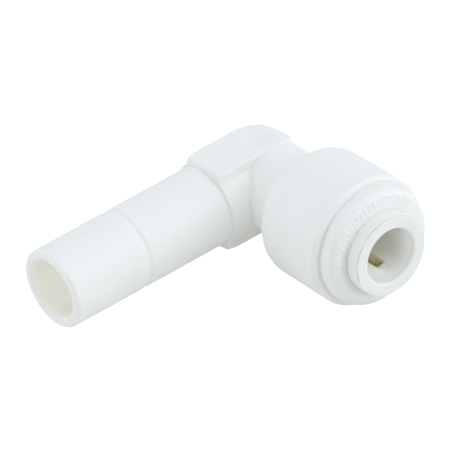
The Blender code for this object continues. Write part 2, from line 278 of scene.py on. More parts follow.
class ColletSizes(bpy.types.PropertyGroup):
    """Sizes of the collet, its teeth and the washer behind it."""

    bore_radius: length("Bore radius", "Radius of the collet's bore", 3.3)
    head_radius: length("Head radius", "Outside radius of the head", 4.87)
    head_length: length("Head length", "Length of the head", 3.1)
    head_edge: length("Head edge", "Rounding of the head's outer edge", 0.22)
    lip_round: length("Lip round", "Rounding of the mouth's lip", 0.35)
    waist_radius: length("Waist radius", "Outside radius of the fingers' waist", 4.35)
    barb_radius: length("Barb radius", "Outside radius of the fingers' barbs", 5.5)
    barb_front: length("Barb front", "Length of the barb's coned front", 0.9)
    barb_land: length("Barb land", "Length of the barb's straight part", 1.6)
    finger_lead: length("Finger lead", "Length of the chamfer at the fingers' ends", 0.8)
    slit_width: length("Slit width", "Width of the slits that part the fingers", 1.2)
    slit_from_face: length("Slit from face", "From the face to the end of the open slit", 3.5)
    tip_from_face: length("Tip from face", "From the face to the round tip of the slit", 2.3)
    tip_depth: length("Tip depth", "Depth of the shallow tip at its round end", 0.07)
    tip_fall: length("Tip fall", "How much deeper the tip is where the open slit starts", 0.1)
    slit_angle: turn("Slit angle", "Angle of the first slit round the socket's axis", 286.2)
    tooth_width: length("Tooth width", "Width of a grip tooth", 2.2)
    tooth_depth: length("Tooth depth", "Depth of a grip tooth, across the finger", 1.4)
    tooth_thickness: length("Tooth thickness", "Thickness of a grip tooth", 0.28)
    tooth_bite: length("Tooth bite", "How far a tooth stands into the bore", 0.25)
    tooth_from_end: length("Tooth from end", "From the fingers' ends to the tooth", 0.75)
    tooth_tilt: turn("Tooth tilt", "Lean of a tooth towards the mouth", 20.0)
    pocket_clearance: length("Pocket clearance", "Gap round a tooth in its pocket", 0.06)
    washer_inner: length("Washer inner radius", "Inside radius of the washer", 3.375)


class Finishes(bpy.types.PropertyGroup):
    """Colours and finishes of all the pieces."""

    plastic: colour("Plastic", "Colour of the moulded plastic", (0.932, 0.93, 0.898))
    plastic_shade: colour("Plastic shade", "Colour of its faint clouding", (0.925, 0.924, 0.89))
    # Painted light: the inside is painted lighter and warmer than the outside, standing in for light
    # that comes through the translucent walls
    plastic_inside: colour("Plastic inside", "Colour of the clean inside", (0.99, 0.977, 0.892))
    collet: colour("Collet plastic", "Colour of the collet's outside", (0.905, 0.907, 0.885))
    # Painted light: the collet's bore is painted lighter than its outside
    collet_lit_inside: colour("Collet inside", "Colour of the collet's bore", (0.979, 0.981, 0.94))
    # Painted warm light: this warm, bright tone on the cap's inside and on the sides of the collet's
    # slits stands in for light that comes through the translucent walls
    grease: colour("Grease", "Colour of the grease in the cap and the slits", (0.99, 0.94, 0.77))
    # How far light travels under the cap's inside, which is painted in the warm light colour
    grease_reach: length("Grease reach", "How far light travels in the cap's greased inside", 1.6)
    speck: colour("Speck", "Colour of the tiny specks in the plastic", (0.2, 0.21, 0.19))
    # Dust and painted shade: this colour is mixed in for dust on edges and in seams, and as painted
    # shade in corners, the crease and low on the left
    grime: colour("Grime", "Colour of the dust held by edges and gaps", (0.34, 0.29, 0.22))
    rubber: colour("Rubber", "Colour of the seal", (0.018, 0.018, 0.019))
    rubber_bloom: colour("Rubber bloom", "Colour of the pale bloom on the seal", (0.045, 0.045, 0.05))
    steel: colour("Steel", "Colour of the grip teeth", (0.62, 0.61, 0.58))
    steel_shade: colour("Steel shade", "Colour of the rolled streaks in the steel", (0.5, 0.49, 0.47))
    roughness: share("Roughness", "Roughness of the moulded plastic", 0.42)
    translucency: share("Translucency", "Share of light that the plastic scatters inside", 1.0)
    scatter: length("Scatter", "How far light travels in the plastic's outer skin", 0.1)
    scatter_inside: length("Scatter inside", "How far it travels from the clean inside", 2.0)


class StageSettings(bpy.types.PropertyGroup):
    """Camera, floor and light."""

    azimuth: turn("Azimuth", "Turn of the camera round the object", -35.79)
    elevation: turn("Elevation", "Height of the camera over the floor", 34.47)
    roll: turn("Roll", "Roll of the camera", -6.70)
    distance: length("Distance", "From the camera to the crossing of the ports", 1155.0)
    scale: number("Scale", "Pixels of the picture for a millimetre at the crossing", 8.979)
    crossing_x: number("Crossing X", "The crossing across the picture", 259.0, subtype="PIXEL")
    crossing_y: number("Crossing Y", "The crossing down the picture", 175.38, subtype="PIXEL")
    floor_size: length("Floor size", "Width of the floor", 3000.0)
    floor: colour("Floor", "Colour of the floor", (0.9, 0.9, 0.9))
    table: colour("Table", "Colour of the table that throws light up", (0.87, 0.86, 0.83))
    floor_glow: share("Floor glow", "Even light that keeps the floor pale in the shade", 0.85, 4.0)
    light: colour("Light", "Colour of the soft light", (0.945, 0.99, 1.035))
    fill: share("Fill", "Strength of the even light all round", 0.66, 4.0)
    left: share("Left panel", "Strength of the soft panel on the left", 0.65, 4.0)
    left_azimuth: turn("Left azimuth", "Turn of the left panel round the object", -127.0)
    left_elevation: turn("Left elevation", "Height of the left panel over the floor", 8.0)
    left_spread: share("Left spread", "How wide the left panel's light spreads", 0.34)
    right: share("Right panel", "Strength of the soft panel on the right", 1.78, 4.0)
    right_azimuth: turn("Right azimuth", "Turn of the right panel round the object", 49.0)
    right_elevation: turn("Right elevation", "Height of the right panel over the floor", 29.0)
    right_spread: share("Right spread", "How wide the right panel's light spreads", 0.11)
    lamp_distance: length("Lamp distance", "From each small lamp to the opening it shines into", 200.0)
    bore_power: number("Bore lamp", "Power of the lamp into the collet", 0.78, unit="POWER")
    bore_azimuth: turn("Bore lamp azimuth", "Turn of that lamp round the object", 0.0)
    bore_elevation: turn("Bore lamp elevation", "Height of that lamp over the floor", 48.0)
    mouth_power: number("Mouth lamp", "Power of the lamp into the stem", 0.32, unit="POWER")
    mouth_azimuth: turn("Mouth lamp azimuth", "Turn of that lamp round the object", -65.0)
    mouth_elevation: turn("Mouth lamp elevation", "Height of that lamp over the floor", 20.0)


class StemElbowSettings(bpy.types.PropertyGroup):
    """All the settings of the stem elbow."""

    stem: PointerProperty(type=StemSizes, name="Stem", description="Sizes of the stem")
    elbow: PointerProperty(type=ElbowSizes, name="Elbow", description="Sizes of the elbow block")
    socket: PointerProperty(type=SocketSizes, name="Socket", description="Sizes of the socket")
    cap: PointerProperty(type=CapSizes, name="Cap", description="Sizes of the end cap")
    collet: PointerProperty(type=ColletSizes, name="Collet", description="Sizes of the collet")
    finish: PointerProperty(type=Finishes, name="Finish", description="Colours and finishes")
    stage: PointerProperty(type=StageSettings, name="Stage", description="Camera, floor and light")


# Meshes

def ramp(start, end, value):
    """A smooth rise from 0 at start to 1 at end."""
    t = np.clip((value - start) / (end - start), 0.0, 1.0)
    return t * t * (3.0 - 2.0 * t)


def joined(a, b, fillet):
    """Distance to two solids joined with a round fillet."""
    outside = np.maximum(fillet, np.minimum(a, b))
    return outside - np.hypot(np.maximum(fillet - a, 0.0), np.maximum(fillet - b, 0.0))


def common(a, b, edge):
    """Distance to what two solids share, with a round edge."""
    inside = np.minimum(-edge, np.maximum(a, b))
    return inside + np.hypot(np.maximum(edge + a, 0.0), np.maximum(edge + b, 0.0))


def rounded(corners, closed=True, steps=6):
    """A profile of radius and distance whose corners each have a rounding of their own."""
    count = len(corners)
    spots = [Vector(corner[:2]) for corner in corners]
    arms = [(spots[i - 1] - spots[i], spots[(i + 1) % count] - spots[i]) for i in range(count)]
    ends = () if closed else (0, count - 1)
    cuts = []
    for i, (before, after) in enumerate(arms):
        bend = corners[i][2]
        plain = i in ends or bend <= 0.0
        cuts.append(0.0 if plain else bend / math.tan(before.angle(after) / 2))
    points = []
    for i, (before, after) in enumerate(arms):
        if cuts[i] == 0.0:
            points.append(spots[i])
            continue
        bend = corners[i][2]
        in_dir, out_dir = before.normalized(), after.normalized()
        half = before.angle(after) / 2
        centre = spots[i] + (in_dir + out_dir).normalized() * bend / math.sin(half)
        start, end = spots[i] + in_dir * cuts[i], spots[i] + out_dir * cuts[i]
        if before.length - cuts[i] - cuts[i - 1] > bend:
            points.append(start + in_dir * bend * BESIDE_ROUNDING)
        first = math.atan2(*(start - centre).yx)
        sweep = math.atan2(*(end - centre).yx) - first
        sweep = (sweep + math.pi) % (2 * math.pi) - math.pi
        for step in range(steps + 1):
            angle = first + sweep * step / steps
            points.append(centre + Vector((math.cos(angle), math.sin(angle))) * bend)
        if after.length - cuts[i] - cuts[(i + 1) % count] > bend:
            points.append(end + out_dir * bend * BESIDE_ROUNDING)
    return [(point.x, point.y) for point in points]


def ring(centre, across, angles, radii):
    """Points round a centre, in the plane of a direction and the vertical."""
    radii = np.broadcast_to(np.asarray(radii, float), angles.shape)
    flat = np.outer(radii * np.cos(angles), across)
    return np.asarray(centre) + flat + np.outer(radii * np.sin(angles), UP)


def turned(profile, angles, along=ALONG_SOCKET, across=SIDE):
    """Rings of a profile of radius and distance, turned about one of the two axes."""
    return [ring(along * t, across, angles, r) for r, t in profile]


def even_angles(count):
    """Angles spread evenly over one turn."""
    return np.linspace(0.0, 2.0 * math.pi, count, endpoint=False)


def loop_mesh(name, rings):
    """A closed skin of quads over rings of points, the last ring joined to the first."""
    points = np.concatenate(rings)
    count, around = len(rings), len(rings[0])
    i, j = np.meshgrid(np.arange(count), np.arange(around), indexing="ij")
    below, beside = (i + 1) % count, (j + 1) % around
    faces = np.stack(
        [i * around + j, below * around + j, below * around + beside, i * around + beside], -1
    ).reshape(-1, 4)
    a, b, c, d = (points[faces[:, k]] for k in range(4))
    volume = np.einsum("ij,ij->i", a, np.cross(b, c)).sum()
    volume += np.einsum("ij,ij->i", a, np.cross(c, d)).sum()
    if volume < 0.0:
        faces = faces[:, ::-1]
    mesh = bpy.data.meshes.new(name)
    mesh.from_pydata(points.tolist(), [], faces.tolist())
    return mesh


def add_piece(name, mesh, material, body, replaces=(), sharp=SHARP):
    """A piece with its origin at the crossing, on its body and in place of its solids."""
    mesh.validate()
    mesh.shade_smooth()
    mesh.set_sharp_from_angle(angle=math.radians(sharp))
    mesh.materials.clear()
    mesh.materials.append(material)
    piece = bpy.data.objects.new(name, mesh)
    piece.location = CROSSING
    bpy.context.scene.collection.objects.link(piece)
    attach(piece, body)
    if replaces:
        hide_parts(*replaces)
    return piece


def prism(shell, lower, upper):
    """A closed prism between two outlines of equal length, added to a bmesh."""
    low = [shell.verts.new(point) for point in lower]
    high = [shell.verts.new(point) for point in upper]
    shell.faces.new(low[::-1])
    shell.faces.new(high)
    for i in range(len(low)):
        j = (i + 1) % len(low)
        shell.faces.new((low[i], low[j], high[j], high[i]))


def shell_mesh(name, shell):
    """The mesh of a bmesh, with its faces looking outwards."""
    bmesh.ops.recalc_face_normals(shell, faces=shell.faces)
    mesh = bpy.data.meshes.new(name)
    shell.to_mesh(mesh)
    shell.free()
    return mesh


def combined(mesh, operation, *others):
    """The mesh with each other solid cut away or joined on."""
    target = bpy.data.objects.new("target", mesh)
    bpy.context.scene.collection.objects.link(target)
    tools = []
    for other in others:
        tool = bpy.data.objects.new("tool", other)
        bpy.context.scene.collection.objects.link(tool)
        boolean = target.modifiers.new("combine", "BOOLEAN")
        boolean.operation = operation
        boolean.solver = "EXACT"
        boolean.object = tool
        tools.append(tool)
    depsgraph = bpy.context.evaluated_depsgraph_get()
    made = bpy.data.meshes.new_from_object(target.evaluated_get(depsgraph))
    made.name = mesh.name
    for obj in (target, *tools):
        bpy.data.objects.remove(obj, do_unlink=True)
    return made


# Elbow moulding

def elbow_distance(points, stem, elbow):
    """Distance to the outside of the stem, block, neck and bar, negative inside."""
    u, v, w = points[..., 0], points[..., 1], points[..., 2]
    ball = np.sqrt(u * u + v * v + w * w)
    from_stem = np.where(u < 0.0, np.hypot(v, w), ball)
    from_neck = np.where(v < 0.0, np.hypot(u, w), ball)
    block = common(from_stem - elbow.block_radius, -elbow.block_reach - u, elbow.step_round)
    body = joined(from_stem - stem.diameter / 2, block, elbow.step_fillet)
    swell = (elbow.neck_radius - elbow.block_radius) * ramp(0.0, -elbow.bar_half, v)
    inside = np.clip(np.minimum(-u, -v) / elbow.bar_half, 0.0, 1.0)
    body = joined(body, from_neck - elbow.block_radius - swell, elbow.crease * inside)

    left, half = elbow.bar_setback - elbow.block_reach, elbow.bar_half
    x, reach = u - (left + half) / 2, (half - left) / 2
    corner = np.where(x > 0.0, np.where(v > 0.0, half, elbow.bar_tip), elbow.bar_corner)
    over_x, over_v = np.abs(x) - reach + corner, np.abs(v) - half + corner
    plan = np.minimum(np.maximum(over_x, over_v), 0.0) - corner
    plan = plan + np.hypot(np.maximum(over_x, 0.0), np.maximum(over_v, 0.0))
    end = ramp(left + 3.0 * elbow.bar_corner, left + elbow.bar_corner, u)
    dome = ramp(-1.0 * MM, 1.0 * MM, u) * ramp(-2.0 * MM, 0.0, v)
    edge = elbow.edge_round + (elbow.end_round - elbow.edge_round) * end
    edge = edge + (elbow.dome_round - elbow.edge_round) * dome
    bar = common(plan, np.abs(w) - elbow.bar_height, edge)
    foot = ramp(left + 2.0 * elbow.bar_corner, left, u)
    fillet = elbow.side_fillet + (elbow.end_fillet - elbow.side_fillet) * foot
    return joined(body, bar, fillet * ramp(-0.5 * MM, -0.05 * MM, plan))


def passage_distance(points, stem, socket):
    """Distance to the crossing passages of the stem and the socket, negative inside."""
    u, v, w = points[..., 0], points[..., 1], points[..., 2]
    past = u - socket.flow_radius - socket.bore_overrun
    bore = np.maximum(np.hypot(v, w) - stem.bore / 2, past)
    flow = np.maximum(np.hypot(u, w) - socket.flow_radius, v)
    return np.minimum(bore, flow)


def cast(distance, centre, across, angles, reach=16.0 * MM, halvings=34):
    """How far each ray goes from a centre inside a solid to its surface."""
    near, far = np.zeros(angles.shape), np.full(angles.shape, reach)
    for _ in range(halvings):
        middle = (near + far) / 2
        inside = distance(ring(centre, across, angles, middle)) < 0.0
        near, far = np.where(inside, middle, near), np.where(inside, far, middle)
    return far


def fan_planes(turns, bulge):
    """Centres and directions of the planes that turn from the stem to the socket.

    The centres swing out towards the bar's inner corner, so that every ray from them meets
    the skin once.
    """
    pivot = np.array((-BEND, -BEND, 0.0))
    planes = []
    for angle in turns:
        across = np.array((math.sin(angle), math.cos(angle), 0.0))
        if angle <= FAN_CORNER:
            swing = max(0.0, (angle - FAN_START) / (FAN_CORNER - FAN_START)) ** 2
        else:
            swing = 1.0 - float(ramp(FAN_CORNER, math.pi / 2, angle))
        planes.append((pivot + across * (BEND + bulge * swing), across))
    return planes


def stem_profile(stem, end):
    """Outside of the stem, from its bore's edge to a distance from the crossing."""
    radius = stem.diameter / 2
    groove = STEM_REACH - stem.groove_from_end
    return rounded([
        (stem.bore / 2 + stem.bore_lead, STEM_REACH, 0.0),
        (radius, STEM_REACH, stem.rim_round),
        (radius, groove + stem.groove_roll, 0.6 * MM),
        (radius - stem.groove_depth, groove - stem.groove_width / 4, 0.1 * MM),
        (radius, groove - stem.groove_width, 0.03 * MM),
        (radius, end, 0.0),
    ], closed=False)


def shoulder_profile(elbow, socket):
    """Outside of the neck, the fillet at its end, and the socket's round shoulder."""
    fillet, bend = socket.shoulder_fillet, socket.shoulder_round
    rise = SOCKET_RADIUS - socket.draft / 2 - bend
    drop = math.sqrt((bend + fillet) ** 2 - (elbow.neck_radius + fillet - rise) ** 2)
    leave = math.atan2(elbow.neck_radius + fillet - rise, drop)
    sweep = math.pi / 2 - leave
    profile = [(elbow.neck_radius, BEND + 0.2 * MM)]
    for step in range(FILLET_STEPS + 1):
        angle = leave + sweep * (1.0 - step / FILLET_STEPS)
        profile.append((
            elbow.neck_radius + fillet * (1.0 - math.sin(angle)),
            socket.shoulder_end - drop + fillet * math.cos(angle),
        ))
    for step in range(1, SHOULDER_STEPS + 1):
        angle = leave + sweep * step / SHOULDER_STEPS
        profile.append((
            rise + bend * math.sin(angle),
            socket.shoulder_end - bend * math.cos(angle),
        ))
    profile.append((SOCKET_RADIUS, (socket.shoulder_end + SOCKET_FRONT) / 2))
    return profile


def socket_profile(socket):
    """The socket from its outside, over its front edge, and down its stepped bore."""
    front_radius = SOCKET_RADIUS + socket.draft / 2
    return rounded([
        (SOCKET_RADIUS + 0.25 * socket.draft, DRAFT_RING, 0.0),
        (front_radius, SOCKET_FRONT - socket.front_chamfer, 0.12 * MM),
        (front_radius - socket.front_chamfer, SOCKET_FRONT, 0.12 * MM),
        (socket.mouth_radius, SOCKET_FRONT, socket.mouth_lead),
        (socket.mouth_radius, socket.washer_seat, 0.1 * MM),
        (socket.chamber_radius, socket.washer_seat, 0.08 * MM),
        (socket.chamber_radius, socket.chamber_start, 0.15 * MM),
        (socket.seat_radius, socket.chamber_start, 0.2 * MM),
        (socket.seat_radius, socket.tube_stop, 0.1 * MM),
        (socket.flow_radius, socket.tube_stop, 0.15 * MM),
        (socket.flow_radius, BEND + 0.1 * MM, 0.0),
    ], closed=False)


def elbow_rings(stem, elbow, socket):
    """Rings over the whole skin of the moulding: outside from stem to socket, then back inside."""
    beside = np.array(BESIDE_PARTING)
    angles = [even_angles(AROUND_MOULDING), beside % (2 * math.pi), beside + math.pi]
    angles = np.sort(np.concatenate(angles))

    def parted(centre, across, radii):
        """A ring with the fine ridge that the mould's parting plane leaves."""
        height = radii * np.sin(angles)
        ridge = stem.parting * np.exp(-(height / PARTING_WIDTH) ** 2)
        return ring(centre, across, angles, radii + ridge)

    def skin(centre, across):
        """A ring on the outside of the elbow."""
        radii = cast(lambda p: elbow_distance(p, stem, elbow), centre, across, angles)
        return parted(centre, across, radii)

    def passage(centre, across):
        """A ring on the wall of the crossing passages."""
        radii = cast(lambda p: passage_distance(p, stem, socket), centre, across, angles)
        return ring(centre, across, angles, radii)

    blend, step = elbow.block_reach + 0.7 * MM, elbow.block_reach + 0.3 * MM
    rings = []
    for radius, t in stem_profile(stem, blend + 0.1 * MM):
        radii = np.full(angles.shape, radius)
        if t > STEM_REACH - stem.rim_round:
            rings.append(ring(ALONG_STEM * t, BACK, angles, radii))
        else:
            rings.append(parted(ALONG_STEM * t, BACK, radii))
    block_end = np.concatenate([
        np.linspace(blend, step, BLEND_RINGS)[:-1],
        np.linspace(step, BLOCK_PLAIN, STEP_RINGS)[:-1],
        np.linspace(BLOCK_PLAIN, BEND, PLAIN_RINGS),
    ])
    rings += [skin(ALONG_STEM * t, BACK) for t in block_end]
    turns = np.linspace(0.0, math.pi / 2, FAN_RINGS)[1:]
    rings += [skin(*plane) for plane in fan_planes(turns, FAN_BULGE)]
    for radius, t in shoulder_profile(elbow, socket):
        rings.append(parted(ALONG_SOCKET * t, SIDE, np.full(angles.shape, radius)))
    rings += turned(socket_profile(socket), angles)
    turns = np.linspace(math.pi / 2, 0.0, PASSAGE_RINGS)
    rings += [passage(*plane) for plane in fan_planes(turns, 0.0)]
    bore = stem.bore / 2
    for t in np.linspace(BEND, STEM_REACH - stem.bore_lead - 0.2 * MM, BORE_RINGS)[1:]:
        rings.append(ring(ALONG_STEM * t, BACK, angles, bore))
    for part, extra in BORE_LEAD_RINGS:
        t = STEM_REACH - stem.bore_lead * (1.0 - part) - extra * MM
        rings.append(ring(ALONG_STEM * t, BACK, angles, bore + stem.bore_lead * part * 0.9))
    return rings


def pin_marks(elbow):
    """Cutters for the shallow round marks that the ejector pins leave on the flats of the bar."""
    shell = bmesh.new()
    angles = even_angles(AROUND_MARK)
    circle = np.stack([np.cos(angles), np.sin(angles), np.zeros(AROUND_MARK)], -1)
    for side in (1.0, -1.0):
        floor = (elbow.bar_height - elbow.mark_depth) * side
        above = (elbow.bar_height + elbow.mark_depth) * side
        prism(
            shell,
            circle * (elbow.mark_radius - elbow.mark_slope / 2) + np.array((0.0, 0.0, floor)),
            circle * (elbow.mark_radius + elbow.mark_slope * 1.5) + np.array((0.0, 0.0, above)),
        )
    return shell_mesh("pin_marks", shell)


# Finishes

def add_node(tree, kind, values=None, **settings):
    """A shader node with its settings, and with its inputs linked or set."""
    made = tree.nodes.new(kind)
    for key, value in settings.items():
        setattr(made, key, value)
    set_inputs(tree, made, values or {})
    return made


def set_inputs(tree, node, values):
    """Link a node's inputs to what varies, and set the others to constants."""
    for key, value in values.items():
        if isinstance(value, Field):
            tree.links.new(value.socket, node.inputs[key])
        else:
            node.inputs[key].default_value = value


class Field:
    """A value that varies over a surface, and that shader nodes work out like a number."""

    def __init__(self, tree, socket):
        self.tree = tree
        self.socket = socket

    def maths(self, operation, other=0.0):
        """The value worked out with another value or number."""
        made = add_node(self.tree, "ShaderNodeMath", {0: self, 1: other}, operation=operation)
        return Field(self.tree, made.outputs[0])

    def __add__(self, other):
        return self.maths("ADD", other)

    def __sub__(self, other):
        return self.maths("SUBTRACT", other)

    def __mul__(self, other):
        return self.maths("MULTIPLY", other)

    def __abs__(self):
        return self.maths("ABSOLUTE")

    def over(self, other):
        """The larger of two values."""
        return self.maths("MAXIMUM", other)

    def steps(self, low, high, start=0.0, end=1.0):
        """A smooth change from start, where the value is low, to end, where it is high."""
        values = {"Value": self, "From Min": low, "From Max": high, "To Min": start, "To Max": end}
        made = add_node(self.tree, "ShaderNodeMapRange", values, interpolation_type="SMOOTHSTEP")
        return Field(self.tree, made.outputs[0])

    def below(self, limit):
        """One where the value is under a limit, and nothing where it is over."""
        return self.steps(limit - MASK_BLUR, limit + MASK_BLUR, 1.0, 0.0)

    def line(self, middle, half):
        """One on a line of the value, and nothing beyond half a width from it."""
        return abs(self - middle).steps(half * 0.3, half, 1.0, 0.0)

    def mix(self, a, b):
        """A colour that goes from one to another as the value goes from nothing to one."""
        a, b = (end if isinstance(end, Field) else (*end, 1.0) for end in (a, b))
        made = add_node(self.tree, "ShaderNodeMix", {0: self, 6: a, 7: b}, data_type="RGBA")
        return Field(self.tree, made.outputs[2])

    def bump(self, strength, distance):
        """A surface direction that makes the value look like a height."""
        values = {"Height": self, "Strength": strength, "Distance": distance}
        return Field(self.tree, add_node(self.tree, "ShaderNodeBump", values).outputs["Normal"])


class Place(Field):
    """Where a point of a piece lies, in distances from the crossing."""

    def __init__(self, tree):
        super().__init__(tree, add_node(tree, "ShaderNodeTexCoord").outputs["Object"])

    @cached_property
    def axes(self):
        """The three coordinates, by their names."""
        split = add_node(self.tree, "ShaderNodeSeparateXYZ", {"Vector": self}).outputs
        return {name: Field(self.tree, split[name]) for name in "XYZ"}

    def from_axis(self, a, b):
        """Distance from an axis that is square to two others."""
        a, b = self.axes[a], self.axes[b]
        return (a * a + b * b).maths("SQRT")

    @cached_property
    def radius(self):
        """Distance from the socket's axis."""
        return self.from_axis("X", "Z")

    @cached_property
    def t(self):
        """Distance from the crossing along the socket."""
        return self.axes["Y"] * -1.0

    @cached_property
    def side(self):
        """How far the point lies up and to the right of the socket's axis."""
        return self.axes["X"] + self.axes["Z"]

    def noise(self, size, detail=3.0, stretch=None):
        """Noise whose features have about a size, given in millimetres, and can be stretched."""
        spot = self
        if stretch:
            mapped = add_node(self.tree, "ShaderNodeMapping", {"Vector": self, "Scale": stretch})
            spot = Field(self.tree, mapped.outputs["Vector"])
        values = {"Vector": spot, "Scale": 1.0 / (size * MM), "Detail": detail, "Roughness": 0.55}
        return Field(self.tree, add_node(self.tree, "ShaderNodeTexNoise", values).outputs["Fac"])

    def specks(self, apart):
        """Distance from the nearest of many spots, in shares of how far they are apart."""
        values = {"Vector": self, "Scale": 1.0 / (apart * MM)}
        made = add_node(self.tree, "ShaderNodeTexVoronoi", values)
        return Field(self.tree, made.outputs["Distance"])


def start_material(name):
    """A new material, and the place of a point on it."""
    material = bpy.data.materials.new(name)
    material.use_nodes = True
    return material, Place(material.node_tree)


def dress(material, values):
    """Link or set the inputs of a material's shader."""
    tree = material.node_tree
    set_inputs(tree, tree.nodes["Principled BSDF"], values)
    return material


def moulded_plastic(
    name, finish, inside, grease=None, grime=None, skin=None, lit_lining=None, reach=None
):
    """Satin white plastic: faint clouding, a few specks, fine texture, dust on edges and in seams, and
    painted shade in corners, creases and gaps.

    The inside is painted lighter and warmer than the outside, as painted light for the light that
    comes through the translucent walls. The three arguments that are functions of the place, for the
    inside, the painted warm light and the dust and painted shade, say where each lies.
    """
    material, place = start_material(name)
    tint = place.noise(4.0, 4.0).steps(0.35, 0.7)
    tint = tint.mix(skin or finish.plastic, skin or finish.plastic_shade)
    tint = place.specks(5.0).steps(0.016, 0.03, 0.12, 0.0).mix(tint, finish.speck)
    # Painted light: the inside takes a lighter, warmer lining colour; the same mask also lengthens the
    # scatter there
    within = inside(place)
    tint = within.mix(tint, lit_lining or finish.plastic_inside)
    # Painted warm light on the sides and tips of the collet's slits
    if grease:
        tint = grease(place).mix(tint, finish.grease)
    # Dust on edges and in seams, and painted shade in corners, creases and gaps
    if grime:
        tint = grime(place).mix(tint, finish.grime)
    grain = place.noise(0.25)
    return dress(material, {
        "Base Color": tint,
        "Roughness": grain.steps(0.3, 0.7, finish.roughness - 0.05, finish.roughness + 0.06),
        "IOR": PLASTIC_IOR,
        "Subsurface Weight": finish.translucency,
        "Subsurface Radius": (1.0, 1.0, 1.0),
        "Subsurface Scale": within.steps(0.0, 1.0, finish.scatter, reach or finish.scatter_inside),
        "Normal": grain.bump(0.12, 0.02 * MM),
    })


def moulding_inside(place, stem, socket):
    """The bores of the stem and the socket."""
    spare = 0.06 * MM
    stem_bore = place.from_axis("Y", "Z").below(stem.bore / 2 + 0.1 * MM)
    seat = place.radius.below(socket.chamber_radius + spare)
    seat *= place.t.steps(socket.tube_stop - 0.3 * MM, socket.tube_stop - 0.1 * MM)
    mouth = place.radius.below(socket.mouth_radius + spare)
    mouth *= place.t.steps(socket.washer_seat - 0.2 * MM, socket.washer_seat - 0.1 * MM)
    return stem_bore.over(seat).over(mouth)


def socket_inside(place, radius, t):
    """All that lies within a radius of the socket's axis, or behind a distance along it."""
    return place.radius.below(radius).over(place.t.below(t))


def collet_lit_inside(place, collet):
    """The collet's bore, from a little behind its face, and all that lies behind the cap's face."""
    behind = place.t.steps(COLLET_FACE - 0.9 * MM, COLLET_FACE - 0.3 * MM, 1.0, 0.0)
    return socket_inside(place, collet.bore_radius + 0.1 * MM, CAP_FACE) * behind


def collet_painted_warm_light(place, collet):
    """Where warm light is painted: the sides of the open slits, and more faintly their tips."""
    start = collet.bore_radius + 0.02 * MM
    slit = place.t.below(COLLET_FACE - collet.slit_from_face)
    faint_tip = place.t.below(COLLET_FACE - collet.tip_from_face) * 0.6
    return place.radius.steps(start, start + 0.06 * MM) * slit.over(faint_tip)


def collet_dust_and_shade(place, collet):
    """Dust along the edge of the collet's face, and painted shade low on the left at the foot of its
    head.
    """
    patches = place.noise(1.6).steps(0.4, 0.66, 0.05, 0.4)
    worn = patches.over(place.side.steps(1.0 * MM, 4.0 * MM, 0.0, 0.3))
    edge = place.t.line(COLLET_FACE - 0.13 * MM, 0.09 * MM) * worn
    # Painted shadow low on the left at the foot of the head
    low_left = place.side.steps(-3.5 * MM, 2.0 * MM, 0.16, 0.0)
    foot = place.t.line(CAP_FACE + 0.1 * MM, 0.45 * MM) * low_left
    outside = place.radius.steps(collet.head_radius - 0.2 * MM, collet.head_radius - 0.1 * MM)
    return edge.over(foot) * outside


def moulding_painted_shade(place, elbow):
    """Painted shade in the stem's corner at the block, in the crease between block and neck, and on
    the socket's front edge on the left and faintly on top, broken up in patches.
    """
    x, y, z = (place.axes[name] for name in "XYZ")
    patches = place.noise(2.5).steps(0.3, 0.6, 0.7, 1.0)
    corner = x.line(-elbow.block_reach - 0.03 * MM, 0.3 * MM) * y.steps(-5.6 * MM, -5.3 * MM)
    crease = (x - y).line(0.0, 0.8 * MM) * x.steps(-2.0 * MM, -1.5 * MM, 1.0, 0.0)
    crease *= abs(z).steps(3.6 * MM, 4.0 * MM, 0.4, 0.0)
    left = place.side.steps(-4.0 * MM, 1.0 * MM, 0.6, 0.0) * z.steps(-4.5 * MM, -2.0 * MM)
    top = place.side.steps(4.0 * MM, 6.0 * MM, 0.0, 0.2)
    front = y.line(0.1 * MM - SOCKET_FRONT, 0.75 * MM) * left.over(top)
    return corner.over(crease).over(front) * (patches * 0.1)


def cap_dust_and_shade(place, cap):
    """Dust in the seam behind the flange and round the hole, heavier towards the lower left, and
    painted shade low on the left: at the foot of the collet, on the land and on the flange's chamfer.
    """
    patches = place.noise(2.2).steps(0.38, 0.66, 0.05, 0.26)
    patches *= place.side.steps(-3.0 * MM, 3.5 * MM, 1.0, 0.1)
    seam = place.t.line(cap.flange_back + 0.02 * MM, 0.12 * MM)
    hole = place.radius.line(cap.hole_radius, 0.22 * MM) * 0.7
    # Painted shade low on the left: at the collet's foot, on the land and on the chamfer
    low_left = place.side.steps(-3.5 * MM, 2.0 * MM, 0.19, 0.0)
    foot = place.radius.line(cap.hole_radius, 0.9 * MM)
    land = place.t.line(cap.flange_back + 0.15 * MM, 0.45 * MM) * 0.6
    chamfer = place.radius.line(FLANGE_RADIUS - cap.flange_chamfer * 0.7, 0.6 * MM) * 0.45
    chamfer *= place.t.steps(CAP_FACE - 0.7 * MM, CAP_FACE - 0.5 * MM)
    return (seam.over(hole) * patches).over(foot.over(land).over(chamfer) * low_left)


def seal_rubber(finish):
    """Black rubber with a faint pale bloom and a matt, finely pitted skin."""
    material, place = start_material("seal rubber")
    pits = place.noise(0.12, 2.0)
    return dress(material, {
        "Base Color": place.noise(1.2, 4.0).steps(0.45, 0.75).mix(finish.rubber, finish.rubber_bloom),
        "Roughness": pits.steps(0.3, 0.7, 0.42, 0.62),
        "Normal": pits.bump(0.2, 0.02 * MM),
    })


